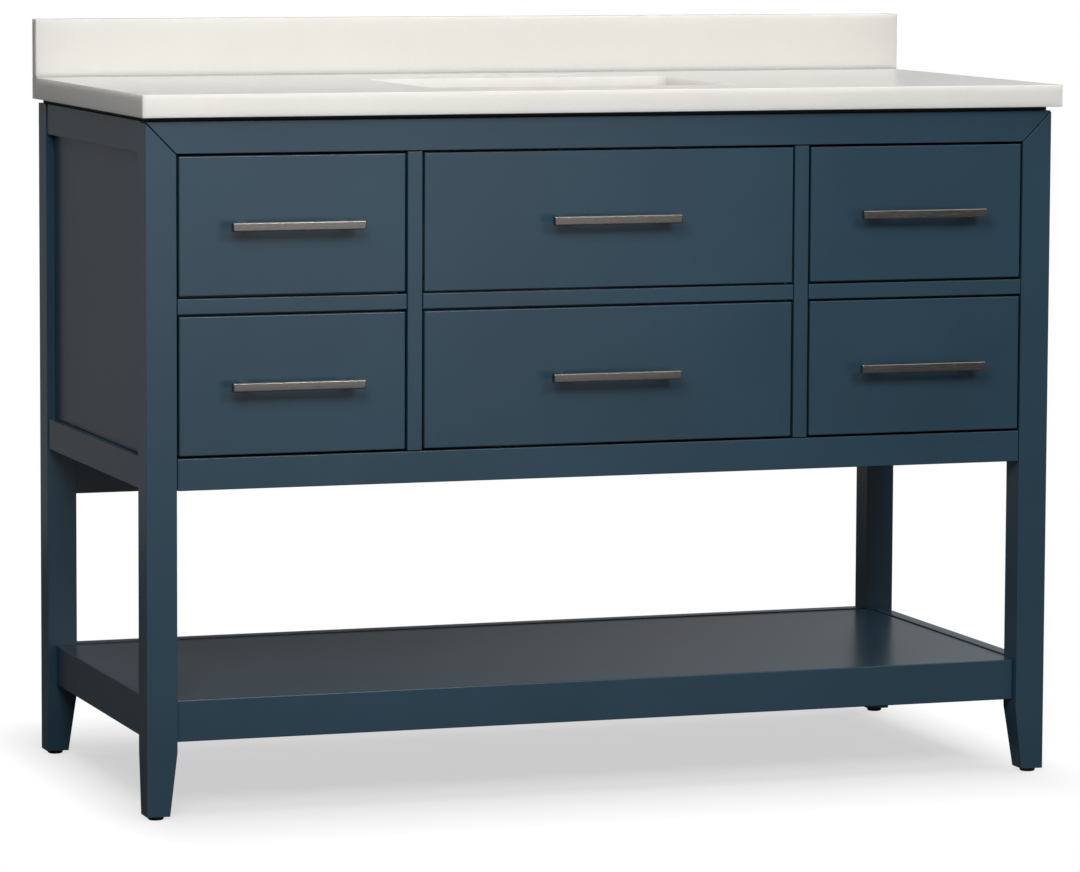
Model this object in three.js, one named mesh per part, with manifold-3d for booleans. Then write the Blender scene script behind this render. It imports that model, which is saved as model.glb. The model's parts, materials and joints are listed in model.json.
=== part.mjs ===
// Bathroom vanity cabinet, 48 in wide: a blue painted wooden frame on four tapered legs, with an open
// shelf, six flush fronts with bar pulls, a stone top with a sink cut-out, and a backsplash.
// Millimetres, +Z up, front facing -Y, origin at the middle of the box's bottom face.
// Five fronts are drawers on side runners. The top centre front tips out on two pivot pins,
// because the sink basin fills the space behind it.
import * as THREE from 'three';
import { mergeVertices } from 'three/addons/utils/BufferGeometryUtils.js';
import Module from 'manifold-3d';

const wasm = await Module();
wasm.setup();

// ---------- driving dimensions ----------
const GAP = 0.3; // between pieces that rest against each other
const JOINT = 1; // the fine line where a front rail meets a leg or a stile
const REVEAL = 3; // shadow gap round each front

const TOP = { width: 1219, depth: 559, thick: 28, height: 894 };
const SPLASH = { height: 76, thick: 19 };
const BODY = { width: 1204, depth: 540, frontInset: 16.5 };

const LEG = { size: 39, taper: 9.5, taperHeight: 79, bottom: 5 };
const FOOT = { radius: 10, chamfer: 1.5, stemRadius: 3, stemLength: 16 };

const RAIL = 39.5; // wide rails of the front and the sides
const SLIM = 19; // stiles and middle rails
const FRAME_THICK = 22;
const OPENING = 177.25; // height of a front's opening
const RAIL_BOTTOM = 408;
const BAY_CENTRE_HALF = 248; // half the middle opening's width

const PANEL = { recess: 10.5, thick: 12 };
const SIDE_RAIL = { thick: 19, inset: 1.5 };
const BACK = { bottom: 345.5, railHeight: 62, railThick: 19, panelThick: 9, recess: 2 };
const PLUMBING = { halfWidth: 180, bottom: 535, top: 720 };
const FLOOR = { bottom: 424, thick: 12 };
const SPACER = { thick: 4.9, inset: 5, rim: 50 };

const SHELF = { top: 147.5, apron: 52, apronThick: 19, board: 15, groove: 1.5, drop: 1.5 };

const FRONT_THICK = 19;
const PULL = { length: 170, height: 11, depth: 8, reach: 30.5, postPitch: 128, post: 9 };

const BOX = { sideSpace: 13, depth: 430, height: 125, lift: 16, wall: 12, floor: 14 };
const NOTCH = { halfWidth: 90, front: -75 }; // plumbing notch in the bottom centre drawer
const RUNNER = { depth: 11.5, height: 45, web: 1.6, lift: 20, tieHeight: 20 };

const BASIN = { width: 418, depth: 272, drop: 140, wall: 11, flange: 26, flangeThick: 12, centreY: -32.5 };
const CUTOUT = { width: 412, depth: 266, radius: 14 };
const DRAIN_RADIUS = 22.5;
const TAP = { radius: 17.5, pitch: 203, y: 185 };

const PIVOT = { behindFace: 8, aboveEdge: 18, radius: 2.5, depth: 11, collar: 5 };
const TRAY = { width: 380, depth: 36, height: 90, wall: 2, lift: 28 };

// ---------- derived places ----------
const topHalf = TOP.width / 2;
const topFront = -TOP.depth / 2;
const topBack = TOP.depth / 2;
const topBottom = TOP.height - TOP.thick;

const bodyHalf = BODY.width / 2;
const face = topFront + BODY.frontInset; // plane of the frame and the fronts
const bodyBack = face + BODY.depth;
const legInner = bodyHalf - LEG.size;
const frameBack = face + FRAME_THICK;
const legFrontBack = face + LEG.size; // back of a front leg
const legRearFront = bodyBack - LEG.size; // front of a rear leg
const sideRailOut = bodyHalf - SIDE_RAIL.inset;
const sideRailIn = sideRailOut - SIDE_RAIL.thick;

const lowOpening = RAIL_BOTTOM + RAIL;
const midRail = lowOpening + OPENING;
const highOpening = midRail + SLIM;
const topRail = highOpening + OPENING;
const bodyTop = topRail + RAIL;

const stileIn = BAY_CENTRE_HALF;
const stileOut = BAY_CENTRE_HALF + SLIM;
const backPanelFront = bodyBack - BACK.recess - BACK.panelThick - 4;
const pullFront = face - PULL.reach;

// ---------- materials ----------
const finish = (color, roughness, metalness) => () =>
  new THREE.MeshStandardMaterial({ color, roughness, metalness });
const paint = finish(0x2f4a5c, 0.45, 0);
const quartz = finish(0xe9e6de, 0.25, 0);
const porcelain = finish(0xf6f6f4, 0.08, 0);
const nickel = finish(0x8f8a84, 0.35, 1);
const zincSteel = finish(0xb8bcc0, 0.4, 1);
const blackOxide = finish(0x16171a, 0.5, 1);
const blackSpacer = finish(0x0b0c0e, 0.7, 0);
const blackRubber = finish(0x101012, 0.8, 0);
const paleWood = finish(0xcdb48c, 0.6, 0);
const whitePlastic = finish(0xeeeeea, 0.5, 0);

// ---------- shape helpers ----------
// A box given by its two faces along each axis.
function block(x0, x1, y0, y1, z0, z1) {
  const geometry = new THREE.BoxGeometry(x1 - x0, y1 - y0, z1 - z0);
  return geometry.translate((x0 + x1) / 2, (y0 + y1) / 2, (z0 + z1) / 2);
}

function outline(points) {
  return new THREE.Shape(points.map(([x, y]) => new THREE.Vector2(x, y)));
}

// An outline in the XZ plane, made solid from y0 to y1.
function alongY(points, y0, y1) {
  const geometry = new THREE.ExtrudeGeometry(outline(points), { depth: y1 - y0, bevelEnabled: false });
  return geometry.rotateX(Math.PI / 2).translate(0, y1, 0);
}

// An outline in the YZ plane, made solid from x0 to x1.
function alongX(points, x0, x1) {
  const geometry = new THREE.ExtrudeGeometry(outline(points), { depth: x1 - x0, bevelEnabled: false });
  return geometry.rotateX(Math.PI / 2).rotateZ(Math.PI / 2).translate(x0, 0, 0);
}

// An outline in the XY plane, made solid from z0 to z1.
function alongZ(points, z0, z1) {
  const geometry = new THREE.ExtrudeGeometry(outline(points), { depth: z1 - z0, bevelEnabled: false });
  return geometry.translate(0, 0, z0);
}

// A turned shape about Z from (radius, height) points that start and end on the axis.
function turned(points, sides = 24) {
  const profile = points.map(([r, z]) => new THREE.Vector2(r, z));
  return new THREE.LatheGeometry(profile, sides).rotateX(Math.PI / 2);
}

function solid(geometry) {
  const bare = geometry.clone();
  bare.deleteAttribute('normal');
  bare.deleteAttribute('uv');
  const merged = mergeVertices(bare, 1e-4);
  const mesh = new wasm.Mesh({
    numProp: 3,
    vertProperties: new Float32Array(merged.attributes.position.array),
    triVerts: new Uint32Array(merged.index.array),
  });
  return new wasm.Manifold(mesh);
}

function surface(manifold) {
  const mesh = manifold.getMesh();
  const geometry = new THREE.BufferGeometry();
  geometry.setAttribute('position', new THREE.BufferAttribute(mesh.vertProperties, 3));
  geometry.setIndex(new THREE.BufferAttribute(mesh.triVerts, 1));
  return geometry;
}

function joined(first, ...others) {
  return surface(others.reduce((sum, other) => sum.add(solid(other)), solid(first)));
}

function cut(first, ...others) {
  return surface(others.reduce((rest, other) => rest.subtract(solid(other)), solid(first)));
}

// One level of a loft: a rounded rectangle of the given size about (0, centreY), at height z.
function ring({ width, depth, radius, z }, centreY, cornerSteps = 6) {
  const points = [];
  for (let corner = 0; corner < 4; corner += 1) {
    const sx = corner === 0 || corner === 3 ? 1 : -1;
    const sy = corner < 2 ? 1 : -1;
    for (let step = 0; step <= cornerSteps; step += 1) {
      const angle = ((corner + step / cornerSteps) * Math.PI) / 2;
      points.push([
        sx * (width / 2 - radius) + radius * Math.cos(angle),
        centreY + sy * (depth / 2 - radius) + radius * Math.sin(angle),
        z,
      ]);
    }
  }
  return points;
}

// A closed body through levels given from the lowest to the highest.
function loft(levels, centreY) {
  const rings = levels.map((level) => ring(level, centreY));
  const count = rings[0].length;
  const vertices = rings.flat();
  const low = vertices.push([0, centreY, levels[0].z]) - 1;
  const high = vertices.push([0, centreY, levels.at(-1).z]) - 1;
  const faces = [];
  for (let i = 0; i < count; i += 1) {
    const next = (i + 1) % count;
    faces.push(low, next, i);
    for (let level = 0; level < levels.length - 1; level += 1) {
      const a = level * count + i;
      const b = level * count + next;
      faces.push(a, b, b + count, a, b + count, a + count);
    }
    const last = (levels.length - 1) * count;
    faces.push(high, last + i, last + next);
  }
  const geometry = new THREE.BufferGeometry();
  geometry.setAttribute('position', new THREE.Float32BufferAttribute(vertices.flat(), 3));
  geometry.setIndex(faces);
  return geometry;
}

// ---------- the assembly ----------
const vanity = new THREE.Group();
// the pulls stand out past the top, so the box's middle is a little ahead of the top's
vanity.position.y = -(pullFront + topBack) / 2;

function part(name, geometry, material) {
  const mesh = new THREE.Mesh(geometry, material);
  mesh.name = name;
  vanity.add(mesh);
}

const SIDES = [['left', -1], ['right', 1]];

// A block mirrored to the left or right: x counts outward from the middle plane.
function sideBlock(side, x0, x1, y0, y1, z0, z1) {
  return side < 0 ? block(-x1, -x0, y0, y1, z0, z1) : block(x0, x1, y0, y1, z0, z1);
}

// ---------- legs and feet ----------
// Square leg whose two inner faces taper towards the foot. The front legs are mitred into the top rail.
function leg(side, isFront) {
  const taperTop = LEG.bottom + LEG.taperHeight;
  const outer = side * bodyHalf;
  const inner = side * legInner;
  const innerLow = side * (legInner + LEG.taper);
  const outerY = isFront ? face : bodyBack;
  const innerY = isFront ? legFrontBack : legRearFront;
  const innerLowY = isFront ? innerY - LEG.taper : innerY + LEG.taper;
  const tapered = (out, low, high) =>
    [[out, LEG.bottom], [low, LEG.bottom], [high, taperTop], [high, bodyTop], [out, bodyTop]];
  const across = solid(alongY(tapered(outer, innerLow, inner), face - 1, bodyBack + 1));
  const along = solid(alongX(tapered(outerY, innerLowY, innerY), -bodyHalf - 1, bodyHalf + 1));
  const footX = (outer + innerLow) / 2;
  const footY = (outerY + innerLowY) / 2;
  const hole = turned([[0, 0], [FOOT.stemRadius + GAP, 0], [FOOT.stemRadius + GAP, FOOT.stemLength + GAP],
    [0, FOOT.stemLength + GAP]], 16).translate(footX, footY, LEG.bottom - 1);
  let body = across.intersect(along).subtract(solid(hole));
  if (isFront) {
    const mitreHeight = (x) => topRail + ((x - legInner) * RAIL) / LEG.size - JOINT * Math.SQRT2;
    const reach = [legInner - 1, bodyHalf + 1];
    const mitre = [[reach[1], bodyTop + 1], [reach[0], bodyTop + 1],
      [reach[0], mitreHeight(reach[0])], [reach[1], mitreHeight(reach[1])]];
    const wedge = mitre.map(([x, z]) => [side * x, z]);
    body = body.subtract(solid(alongY(wedge, face - 1, frameBack + GAP)));
  }
  return { geometry: surface(body), footX, footY };
}

function foot(x, y) {
  const head = LEG.bottom - GAP;
  return turned([[0, 0], [FOOT.radius - FOOT.chamfer, 0], [FOOT.radius, FOOT.chamfer], [FOOT.radius, head],
    [FOOT.stemRadius, head], [FOOT.stemRadius, head + FOOT.stemLength - 2], [0, head + FOOT.stemLength - 2]])
    .translate(x, y, 0);
}

for (const [place, isFront] of [['front', true], ['rear', false]]) {
  for (const [name, side] of SIDES) {
    const { geometry, footX, footY } = leg(side, isFront);
    part(`leg_${place}_${name}`, geometry, paint());
    part(`foot_${place}_${name}`, foot(footX, footY), blackRubber());
  }
}

// ---------- front frame ----------
function frontTopRail() {
  const top = bodyHalf;
  const low = legInner;
  return alongY([[-low, topRail], [low, topRail], [top, bodyTop], [-top, bodyTop]], face, frameBack);
}
part('front_top_rail', frontTopRail(), paint());
part('front_bottom_rail',
  block(-legInner + JOINT, legInner - JOINT, face, frameBack, RAIL_BOTTOM, lowOpening), paint());

// ---------- pivots of the tip-out front ----------
const pivotY = face + PIVOT.behindFace;
const pivotZ = highOpening + REVEAL + PIVOT.aboveEdge;

function pivotBore(side, from) {
  const radius = PIVOT.radius + GAP;
  const length = PIVOT.depth + REVEAL + GAP;
  return turned([[0, 0], [radius, 0], [radius, length], [0, length]], 16)
    .rotateY((side * Math.PI) / 2)
    .translate(side * from, pivotY, pivotZ);
}

function pivotPin(side) {
  const near = stileIn - REVEAL - PIVOT.depth + GAP * 2;
  const far = stileIn + PIVOT.depth - GAP * 2;
  const collarIn = stileIn - REVEAL + GAP * 1.5 - near;
  const collarOut = stileIn - GAP * 1.5 - near;
  return turned([[0, 0], [PIVOT.radius, 0], [PIVOT.radius, collarIn], [PIVOT.collar, collarIn],
    [PIVOT.collar, collarOut], [PIVOT.radius, collarOut], [PIVOT.radius, far - near], [0, far - near]], 16)
    .rotateY((side * Math.PI) / 2)
    .translate(side * near, pivotY, pivotZ);
}

for (const [name, side] of SIDES) {
  const bar = sideBlock(side, stileIn, stileOut, face, frameBack, lowOpening + JOINT, topRail - JOINT);
  part(`stile_${name}`, cut(bar, pivotBore(side, stileIn - REVEAL)), paint());
  part(`tipout_pivot_${name}`, pivotPin(side), blackOxide());
}

const BAYS = [
  ['left', -legInner, -stileOut],
  ['center', -stileIn, stileIn],
  ['right', stileOut, legInner],
];
for (const [bay, x0, x1] of BAYS) {
  part(`mid_rail_${bay}`, block(x0 + JOINT, x1 - JOINT, face, frameBack, midRail, highOpening), paint());
}

// ---------- sides, dividers, floor and back ----------
for (const [name, side] of SIDES) {
  const y0 = legFrontBack + GAP;
  const y1 = legRearFront - GAP;
  const panelOut = bodyHalf - PANEL.recess;
  part(`side_top_rail_${name}`,
    sideBlock(side, sideRailIn, sideRailOut, y0, y1, topRail, bodyTop), paint());
  part(`side_bottom_rail_${name}`,
    sideBlock(side, sideRailIn, sideRailOut, y0, y1, RAIL_BOTTOM, lowOpening), paint());
  part(`side_panel_${name}`,
    sideBlock(side, panelOut - PANEL.thick, panelOut, y0, y1, lowOpening + GAP, topRail - GAP), paint());
  part(`divider_${name}`,
    sideBlock(side, stileIn, stileOut, frameBack + GAP, backPanelFront - GAP,
      FLOOR.bottom + FLOOR.thick + GAP, bodyTop - GAP), paleWood());
}

function legClearances() {
  const boxes = [];
  for (const [, side] of SIDES) {
    boxes.push(sideBlock(side, legInner - GAP, bodyHalf, face, legFrontBack + GAP, 0, bodyTop));
    boxes.push(sideBlock(side, legInner - GAP, bodyHalf, legRearFront - GAP, bodyBack, 0, bodyTop));
  }
  return boxes;
}

function cabinetFloor() {
  const half = sideRailIn - GAP;
  const board = block(-half, half, frameBack + GAP, backPanelFront - GAP,
    FLOOR.bottom, FLOOR.bottom + FLOOR.thick);
  return cut(board, ...legClearances());
}
part('cabinet_floor', cabinetFloor(), paleWood());

function backPanel() {
  const board = block(-legInner + GAP, legInner - GAP, backPanelFront, backPanelFront + BACK.panelThick,
    BACK.bottom + BACK.railHeight + GAP, bodyTop - GAP);
  return cut(board, block(-PLUMBING.halfWidth, PLUMBING.halfWidth, backPanelFront - 1, bodyBack,
    PLUMBING.bottom, PLUMBING.top));
}
part('back_panel', backPanel(), paint());
part('back_bottom_rail', block(-legInner + GAP, legInner - GAP, bodyBack - BACK.recess - BACK.railThick,
  bodyBack - BACK.recess, BACK.bottom, BACK.bottom + BACK.railHeight), paint());

// ---------- open shelf ----------
const apronIn = PANEL.recess + SHELF.apronThick;
const apronLow = SHELF.top - SHELF.apron;
part('shelf_apron_front', block(-legInner + GAP, legInner - GAP, face + PANEL.recess, face + apronIn,
  apronLow, SHELF.top), paint());
part('shelf_apron_back', block(-legInner + GAP, legInner - GAP, bodyBack - apronIn, bodyBack - PANEL.recess,
  apronLow, SHELF.top), paint());
for (const [name, side] of SIDES) {
  part(`shelf_apron_${name}`, sideBlock(side, bodyHalf - apronIn, bodyHalf - PANEL.recess,
    legFrontBack + GAP, legRearFront - GAP, apronLow, SHELF.top), paint());
}

function shelfBoard() {
  const half = bodyHalf - apronIn;
  const boardTop = SHELF.top - SHELF.drop;
  const board = block(-half + GAP, half - SHELF.groove,
    face + apronIn + GAP, bodyBack - apronIn - SHELF.groove, boardTop - SHELF.board, boardTop);
  return cut(board, ...legClearances());
}
part('shelf_board', shelfBoard(), paint());

// ---------- stone top, backsplash and basin ----------
function topSpacer() {
  const z0 = bodyTop + GAP;
  const z1 = z0 + SPACER.thick;
  const half = bodyHalf - SPACER.inset;
  const y0 = face + SPACER.inset;
  const y1 = bodyBack - SPACER.inset;
  const rim = SPACER.rim;
  return cut(block(-half, half, y0, y1, z0, z1),
    block(-half + rim, half - rim, y0 + rim, y1 - rim, z0 - 1, z1 + 1));
}
part('top_spacer', topSpacer(), blackSpacer());

function countertop() {
  const slab = block(-topHalf, topHalf, topFront, topBack, topBottom, TOP.height);
  const level = { width: CUTOUT.width, depth: CUTOUT.depth, radius: CUTOUT.radius };
  const hole = loft([{ ...level, z: topBottom - 1 }, { ...level, z: TOP.height + 1 }], BASIN.centreY);
  const taps = [-1, 0, 1].map((place) => turned([[0, 0], [TAP.radius, 0], [TAP.radius, TOP.thick + 2],
    [0, TOP.thick + 2]]).translate((place * TAP.pitch) / 2, TAP.y, topBottom - 1));
  return cut(slab, hole, ...taps);
}
part('countertop', countertop(), quartz());
part('backsplash', block(-topHalf, topHalf, topBack - SPLASH.thick, topBack,
  TOP.height + GAP, TOP.height + SPLASH.height), quartz());

function sinkBasin() {
  const rim = topBottom - GAP;
  const well = rim - BASIN.drop;
  const { width, depth, wall, flange } = BASIN;
  const shell = loft([
    { width: width - 60, depth: depth - 60, radius: 60, z: well - wall },
    { width: width - 12, depth: depth - 12, radius: 48, z: well + 14 },
    { width: width + wall * 2, depth: depth + wall * 2, radius: 36, z: rim - BASIN.flangeThick - 8 },
    { width: width + wall * 2, depth: depth + wall * 2, radius: 36, z: rim },
  ], BASIN.centreY);
  const lip = loft([
    { width: width + flange * 2, depth: depth + flange * 2, radius: 40, z: rim - BASIN.flangeThick },
    { width: width + flange * 2, depth: depth + flange * 2, radius: 40, z: rim },
  ], BASIN.centreY);
  const hollow = loft([
    { width: DRAIN_RADIUS * 2.4, depth: DRAIN_RADIUS * 2.4, radius: DRAIN_RADIUS * 1.2, z: well },
    { width: width - 92, depth: depth - 92, radius: 46, z: well + 6 },
    { width: width - 56, depth: depth - 56, radius: 46, z: well + 14 },
    { width: width - 36, depth: depth - 36, radius: 40, z: well + 34 },
    { width, depth, radius: 26, z: rim - 6 },
    { width, depth, radius: 26, z: rim + 1 },
  ], BASIN.centreY);
  const drain = turned([[0, 0], [DRAIN_RADIUS, 0], [DRAIN_RADIUS, wall * 3], [0, wall * 3]])
    .translate(0, BASIN.centreY, well - wall * 2);
  return surface(solid(shell).add(solid(lip)).subtract(solid(hollow)).subtract(solid(drain)));
}
part('sink_basin', sinkBasin(), porcelain());

// ---------- fronts, pulls, drawer boxes and runners ----------
function pull(x, z) {
  const half = PULL.length / 2;
  const bar = block(-half, half, pullFront, pullFront + PULL.depth, -PULL.height / 2, PULL.height / 2);
  const posts = [-1, 1].map((side) => {
    const at = (side * PULL.postPitch) / 2;
    return block(at - PULL.post / 2, at + PULL.post / 2, pullFront + PULL.depth - 1, face - GAP,
      -PULL.post / 2, PULL.post / 2);
  });
  return joined(bar, ...posts).translate(x, 0, z);
}

function slab(x0, x1, z0) {
  return block(x0 + REVEAL, x1 - REVEAL, face, face + FRONT_THICK, z0 + REVEAL, z0 + OPENING - REVEAL);
}

// Plan of a drawer box, shrunk by inset all round. With a notch it is a U open to the back.
function boxPlan(half, y0, y1, inset, notch) {
  const x = half - inset;
  const front = y0 + inset;
  const back = y1 - inset;
  if (!notch) {
    return [[-x, front], [x, front], [x, back], [-x, back]];
  }
  const nx = notch.halfWidth + inset;
  const ny = notch.front - inset;
  return [[-x, front], [x, front], [x, back], [nx, back], [nx, ny], [-nx, ny], [-nx, back], [-x, back]];
}

function drawerBox(x0, x1, zOpening, notch) {
  const half = (x1 - x0) / 2 - BOX.sideSpace;
  const y0 = face + FRONT_THICK + GAP;
  const y1 = y0 + BOX.depth;
  const z0 = zOpening + BOX.lift;
  const outer = alongZ(boxPlan(half, y0, y1, 0, notch), z0, z0 + BOX.height);
  const inner = alongZ(boxPlan(half, y0, y1, BOX.wall, notch), z0 + BOX.floor, z0 + BOX.height + 1);
  return cut(outer, inner).translate((x0 + x1) / 2, 0, 0);
}

// Two side channels open towards the drawer, held by one cross strip on the back panel.
function runnerPair(x0, x1, zOpening) {
  const y0 = frameBack + 2;
  const y1 = backPanelFront - GAP;
  const z0 = zOpening + BOX.lift + RUNNER.lift;
  const z1 = z0 + RUNNER.height;
  const { web, depth } = RUNNER;
  const channel = [[0, z0], [depth, z0], [depth, z0 + web], [web, z0 + web],
    [web, z1 - web], [depth, z1 - web], [depth, z1], [0, z1]];
  const left = alongY(channel, y0, y1).translate(x0 + GAP, 0, 0);
  const mirrored = channel.map(([x, z]) => [-x, z]).reverse();
  const right = alongY(mirrored, y0, y1).translate(x1 - GAP, 0, 0);
  const tie = block(x0 + GAP, x1 - GAP, y1 - web, y1, z0, z0 + RUNNER.tieHeight);
  return joined(left, right, tie);
}

for (const [row, z0] of [['top', highOpening], ['bottom', lowOpening]]) {
  for (const [bay, x0, x1] of BAYS) {
    const centre = (x0 + x1) / 2;
    const tipsOut = row === 'top' && bay === 'center';
    const name = tipsOut ? 'tipout' : `drawer_${row}_${bay}`;
    const panel = slab(x0, x1, z0);
    const borePlace = stileIn - REVEAL - PIVOT.depth - GAP;
    const front = tipsOut ? cut(panel, pivotBore(-1, borePlace), pivotBore(1, borePlace)) : panel;
    part(`${name}_front`, front, paint());
    part(`${name}_pull`, pull(centre, z0 + OPENING / 2), nickel());
    if (!tipsOut) {
      const notch = bay === 'center' ? NOTCH : null;
      part(`${name}_box`, drawerBox(x0, x1, z0, notch), paleWood());
      part(`${name}_runners`, runnerPair(x0, x1, z0), zincSteel());
    }
  }
}

// Open-topped tray behind the tip-out front.
function tipoutTray() {
  const y0 = face + FRONT_THICK + GAP;
  const z0 = highOpening + TRAY.lift;
  const half = TRAY.width / 2;
  const { wall } = TRAY;
  return cut(block(-half, half, y0, y0 + TRAY.depth, z0, z0 + TRAY.height),
    block(-half + wall, half - wall, y0 + wall, y0 + TRAY.depth - wall, z0 + wall, z0 + TRAY.height + 1));
}
part('tipout_tray', tipoutTray(), whitePlastic());

export default vanity;
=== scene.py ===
"""Looks of the bathroom vanity cabinet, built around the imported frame.

Metres, +Z up, front facing -Y. The frame, legs, fronts, pulls and stone keep their CAD shapes and get
eased edges and materials. The basin, the drawer boxes and the tip-out tray are built again in full
detail, and the screws, blocks, cleats, clips, slide members and sealant are added.
"""
import json
import math

import bmesh
import bpy
from mathutils import Matrix, Vector


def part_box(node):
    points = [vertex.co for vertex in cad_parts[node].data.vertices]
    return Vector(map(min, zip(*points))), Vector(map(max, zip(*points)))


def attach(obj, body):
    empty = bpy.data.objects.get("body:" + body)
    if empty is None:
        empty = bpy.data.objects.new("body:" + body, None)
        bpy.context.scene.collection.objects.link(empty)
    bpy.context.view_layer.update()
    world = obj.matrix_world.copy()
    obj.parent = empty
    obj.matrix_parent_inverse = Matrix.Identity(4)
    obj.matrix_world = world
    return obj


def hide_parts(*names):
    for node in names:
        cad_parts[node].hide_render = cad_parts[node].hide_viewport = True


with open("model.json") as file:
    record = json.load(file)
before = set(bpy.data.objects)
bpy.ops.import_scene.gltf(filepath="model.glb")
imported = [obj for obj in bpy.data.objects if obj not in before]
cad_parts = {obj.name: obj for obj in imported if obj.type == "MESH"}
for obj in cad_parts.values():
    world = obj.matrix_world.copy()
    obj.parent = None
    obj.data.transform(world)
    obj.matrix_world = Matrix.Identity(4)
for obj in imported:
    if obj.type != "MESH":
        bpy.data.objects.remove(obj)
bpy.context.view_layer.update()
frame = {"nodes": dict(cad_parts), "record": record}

MM = 0.001
SIDES = (("left", -1), ("right", 1))
DRAWERS = ("top_left", "top_right", "bottom_left", "bottom_center", "bottom_right")

# ---------- node helpers ----------


def start(name, colour, roughness, metallic=0.0, **sockets):
    """A Principled material. sockets are set on the shader itself, by name with _ for a space."""
    material = bpy.data.materials.new(name)
    material.use_nodes = True
    shader = material.node_tree.nodes["Principled BSDF"]
    shader.inputs["Base Color"].default_value = (*colour, 1)
    shader.inputs["Roughness"].default_value = roughness
    shader.inputs["Metallic"].default_value = metallic
    for key, value in sockets.items():
        shader.inputs[key.replace("_", " ")].default_value = value
    material.diffuse_color = (*colour, 1)
    return material.node_tree, shader, material


def place_in_object(tree, stretch=(1, 1, 1)):
    """Object coordinates in metres, scaled per axis."""
    coordinates = tree.nodes.new("ShaderNodeTexCoord")
    mapping = tree.nodes.new("ShaderNodeMapping")
    mapping.inputs["Scale"].default_value = stretch
    tree.links.new(coordinates.outputs["Object"], mapping.inputs["Vector"])
    return mapping.outputs["Vector"]


def noise(tree, scale, detail=2.0, stretch=(1, 1, 1), roughness=0.5, distortion=0.0):
    node = tree.nodes.new("ShaderNodeTexNoise")
    node.inputs["Scale"].default_value = scale
    node.inputs["Detail"].default_value = detail
    node.inputs["Roughness"].default_value = roughness
    node.inputs["Distortion"].default_value = distortion
    tree.links.new(place_in_object(tree, stretch), node.inputs["Vector"])
    return node.outputs["Fac"]


def between(tree, factor, low, high, start_at=0.3, end_at=0.7):
    """A number from low to high as factor goes from start_at to end_at."""
    node = tree.nodes.new("ShaderNodeMapRange")
    for key, value in (("From Min", start_at), ("From Max", end_at), ("To Min", low), ("To Max", high)):
        node.inputs[key].default_value = value
    tree.links.new(factor, node.inputs["Value"])
    return node.outputs["Result"]


def shades(tree, factor, stops):
    """A colour from (place, colour) stops along factor."""
    node = tree.nodes.new("ShaderNodeValToRGB")
    elements = node.color_ramp.elements
    while len(elements) < len(stops):
        elements.new(0.5)
    for element, (at, colour) in zip(elements, stops):
        element.position = at
        element.color = (*colour, 1)
    tree.links.new(factor, node.inputs["Fac"])
    return node.outputs["Color"]


def blended(tree, factor, first, second, mode="MIX"):
    node = tree.nodes.new("ShaderNodeMix")
    node.data_type = "RGBA"
    node.blend_type = mode
    if isinstance(factor, float):
        node.inputs["Factor"].default_value = factor
    else:
        tree.links.new(factor, node.inputs["Factor"])
    tree.links.new(first, node.inputs["A"])
    tree.links.new(second, node.inputs["B"])
    return node.outputs["Result"]


def relief(tree, shader, heights):
    """Bumps from (factor, depth in metres) pairs, one on top of the other."""
    normal = None
    for height, depth in heights:
        node = tree.nodes.new("ShaderNodeBump")
        node.inputs["Strength"].default_value = 1.0
        node.inputs["Distance"].default_value = depth
        tree.links.new(height, node.inputs["Height"])
        if normal is not None:
            tree.links.new(normal, node.inputs["Normal"])
        normal = node.outputs["Normal"]
    tree.links.new(normal, shader.inputs["Normal"])


def tinted(colour, factor):
    return tuple(channel * factor for channel in colour)


# ---------- materials ----------


def satin_paint(name, colour):
    """Sprayed satin paint: faint clouding, uneven gloss and fine orange peel."""
    tree, shader, material = start(name, colour, 0.26, Specular_IOR_Level=0.5)
    cloud = noise(tree, 5.0, detail=4.0)
    fine = noise(tree, 160.0, detail=3.0)
    wide = shades(tree, cloud, [(0.3, tinted(colour, 0.93)), (0.7, tinted(colour, 1.07))])
    grain = shades(tree, fine, [(0.3, (0.97, 0.97, 0.97)), (0.7, (1.0, 1.0, 1.0))])
    tree.links.new(blended(tree, 1.0, wide, grain, "MULTIPLY"), shader.inputs["Base Color"])
    tree.links.new(between(tree, noise(tree, 38.0, detail=4.0), 0.26, 0.268), shader.inputs["Roughness"])
    peel = noise(tree, 420.0, detail=1.0)
    relief(tree, shader, [(peel, 0.002 * MM), (fine, 0.001 * MM)])
    return material


def engineered_stone():
    """Polished quartz: warm off-white ground, fine grit and a few pale and grey chips."""
    ground = (0.735, 0.72, 0.685)
    tree, shader, material = start("white_quartz", ground, 0.28, Coat_Weight=0.08, Coat_Roughness=0.14,
                                   Subsurface_Weight=1.0, Subsurface_Scale=0.018)
    shader.inputs["Subsurface Radius"].default_value = (1.0, 0.95, 0.9)
    cloud = shades(tree, noise(tree, 9.0, detail=5.0, distortion=0.6),
                   [(0.32, tinted(ground, 0.988)), (0.68, tinted(ground, 1.008))])
    grit = shades(tree, noise(tree, 1100.0, detail=2.0), [(0.36, (0.965, 0.962, 0.955)), (0.5, (1, 1, 1))])
    chips = tree.nodes.new("ShaderNodeTexVoronoi")
    chips.inputs["Scale"].default_value = 260.0
    tree.links.new(place_in_object(tree), chips.inputs["Vector"])
    flecks = shades(tree, chips.outputs["Distance"], [(0.10, (0.94, 0.937, 0.93)), (0.22, (1, 1, 1))])
    speckled = blended(tree, 1.0, cloud, grit, "MULTIPLY")
    tree.links.new(blended(tree, 0.6, speckled, flecks, "MULTIPLY"), shader.inputs["Base Color"])
    tree.links.new(between(tree, noise(tree, 60.0, detail=3.0), 0.277, 0.283), shader.inputs["Roughness"])
    return material


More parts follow.
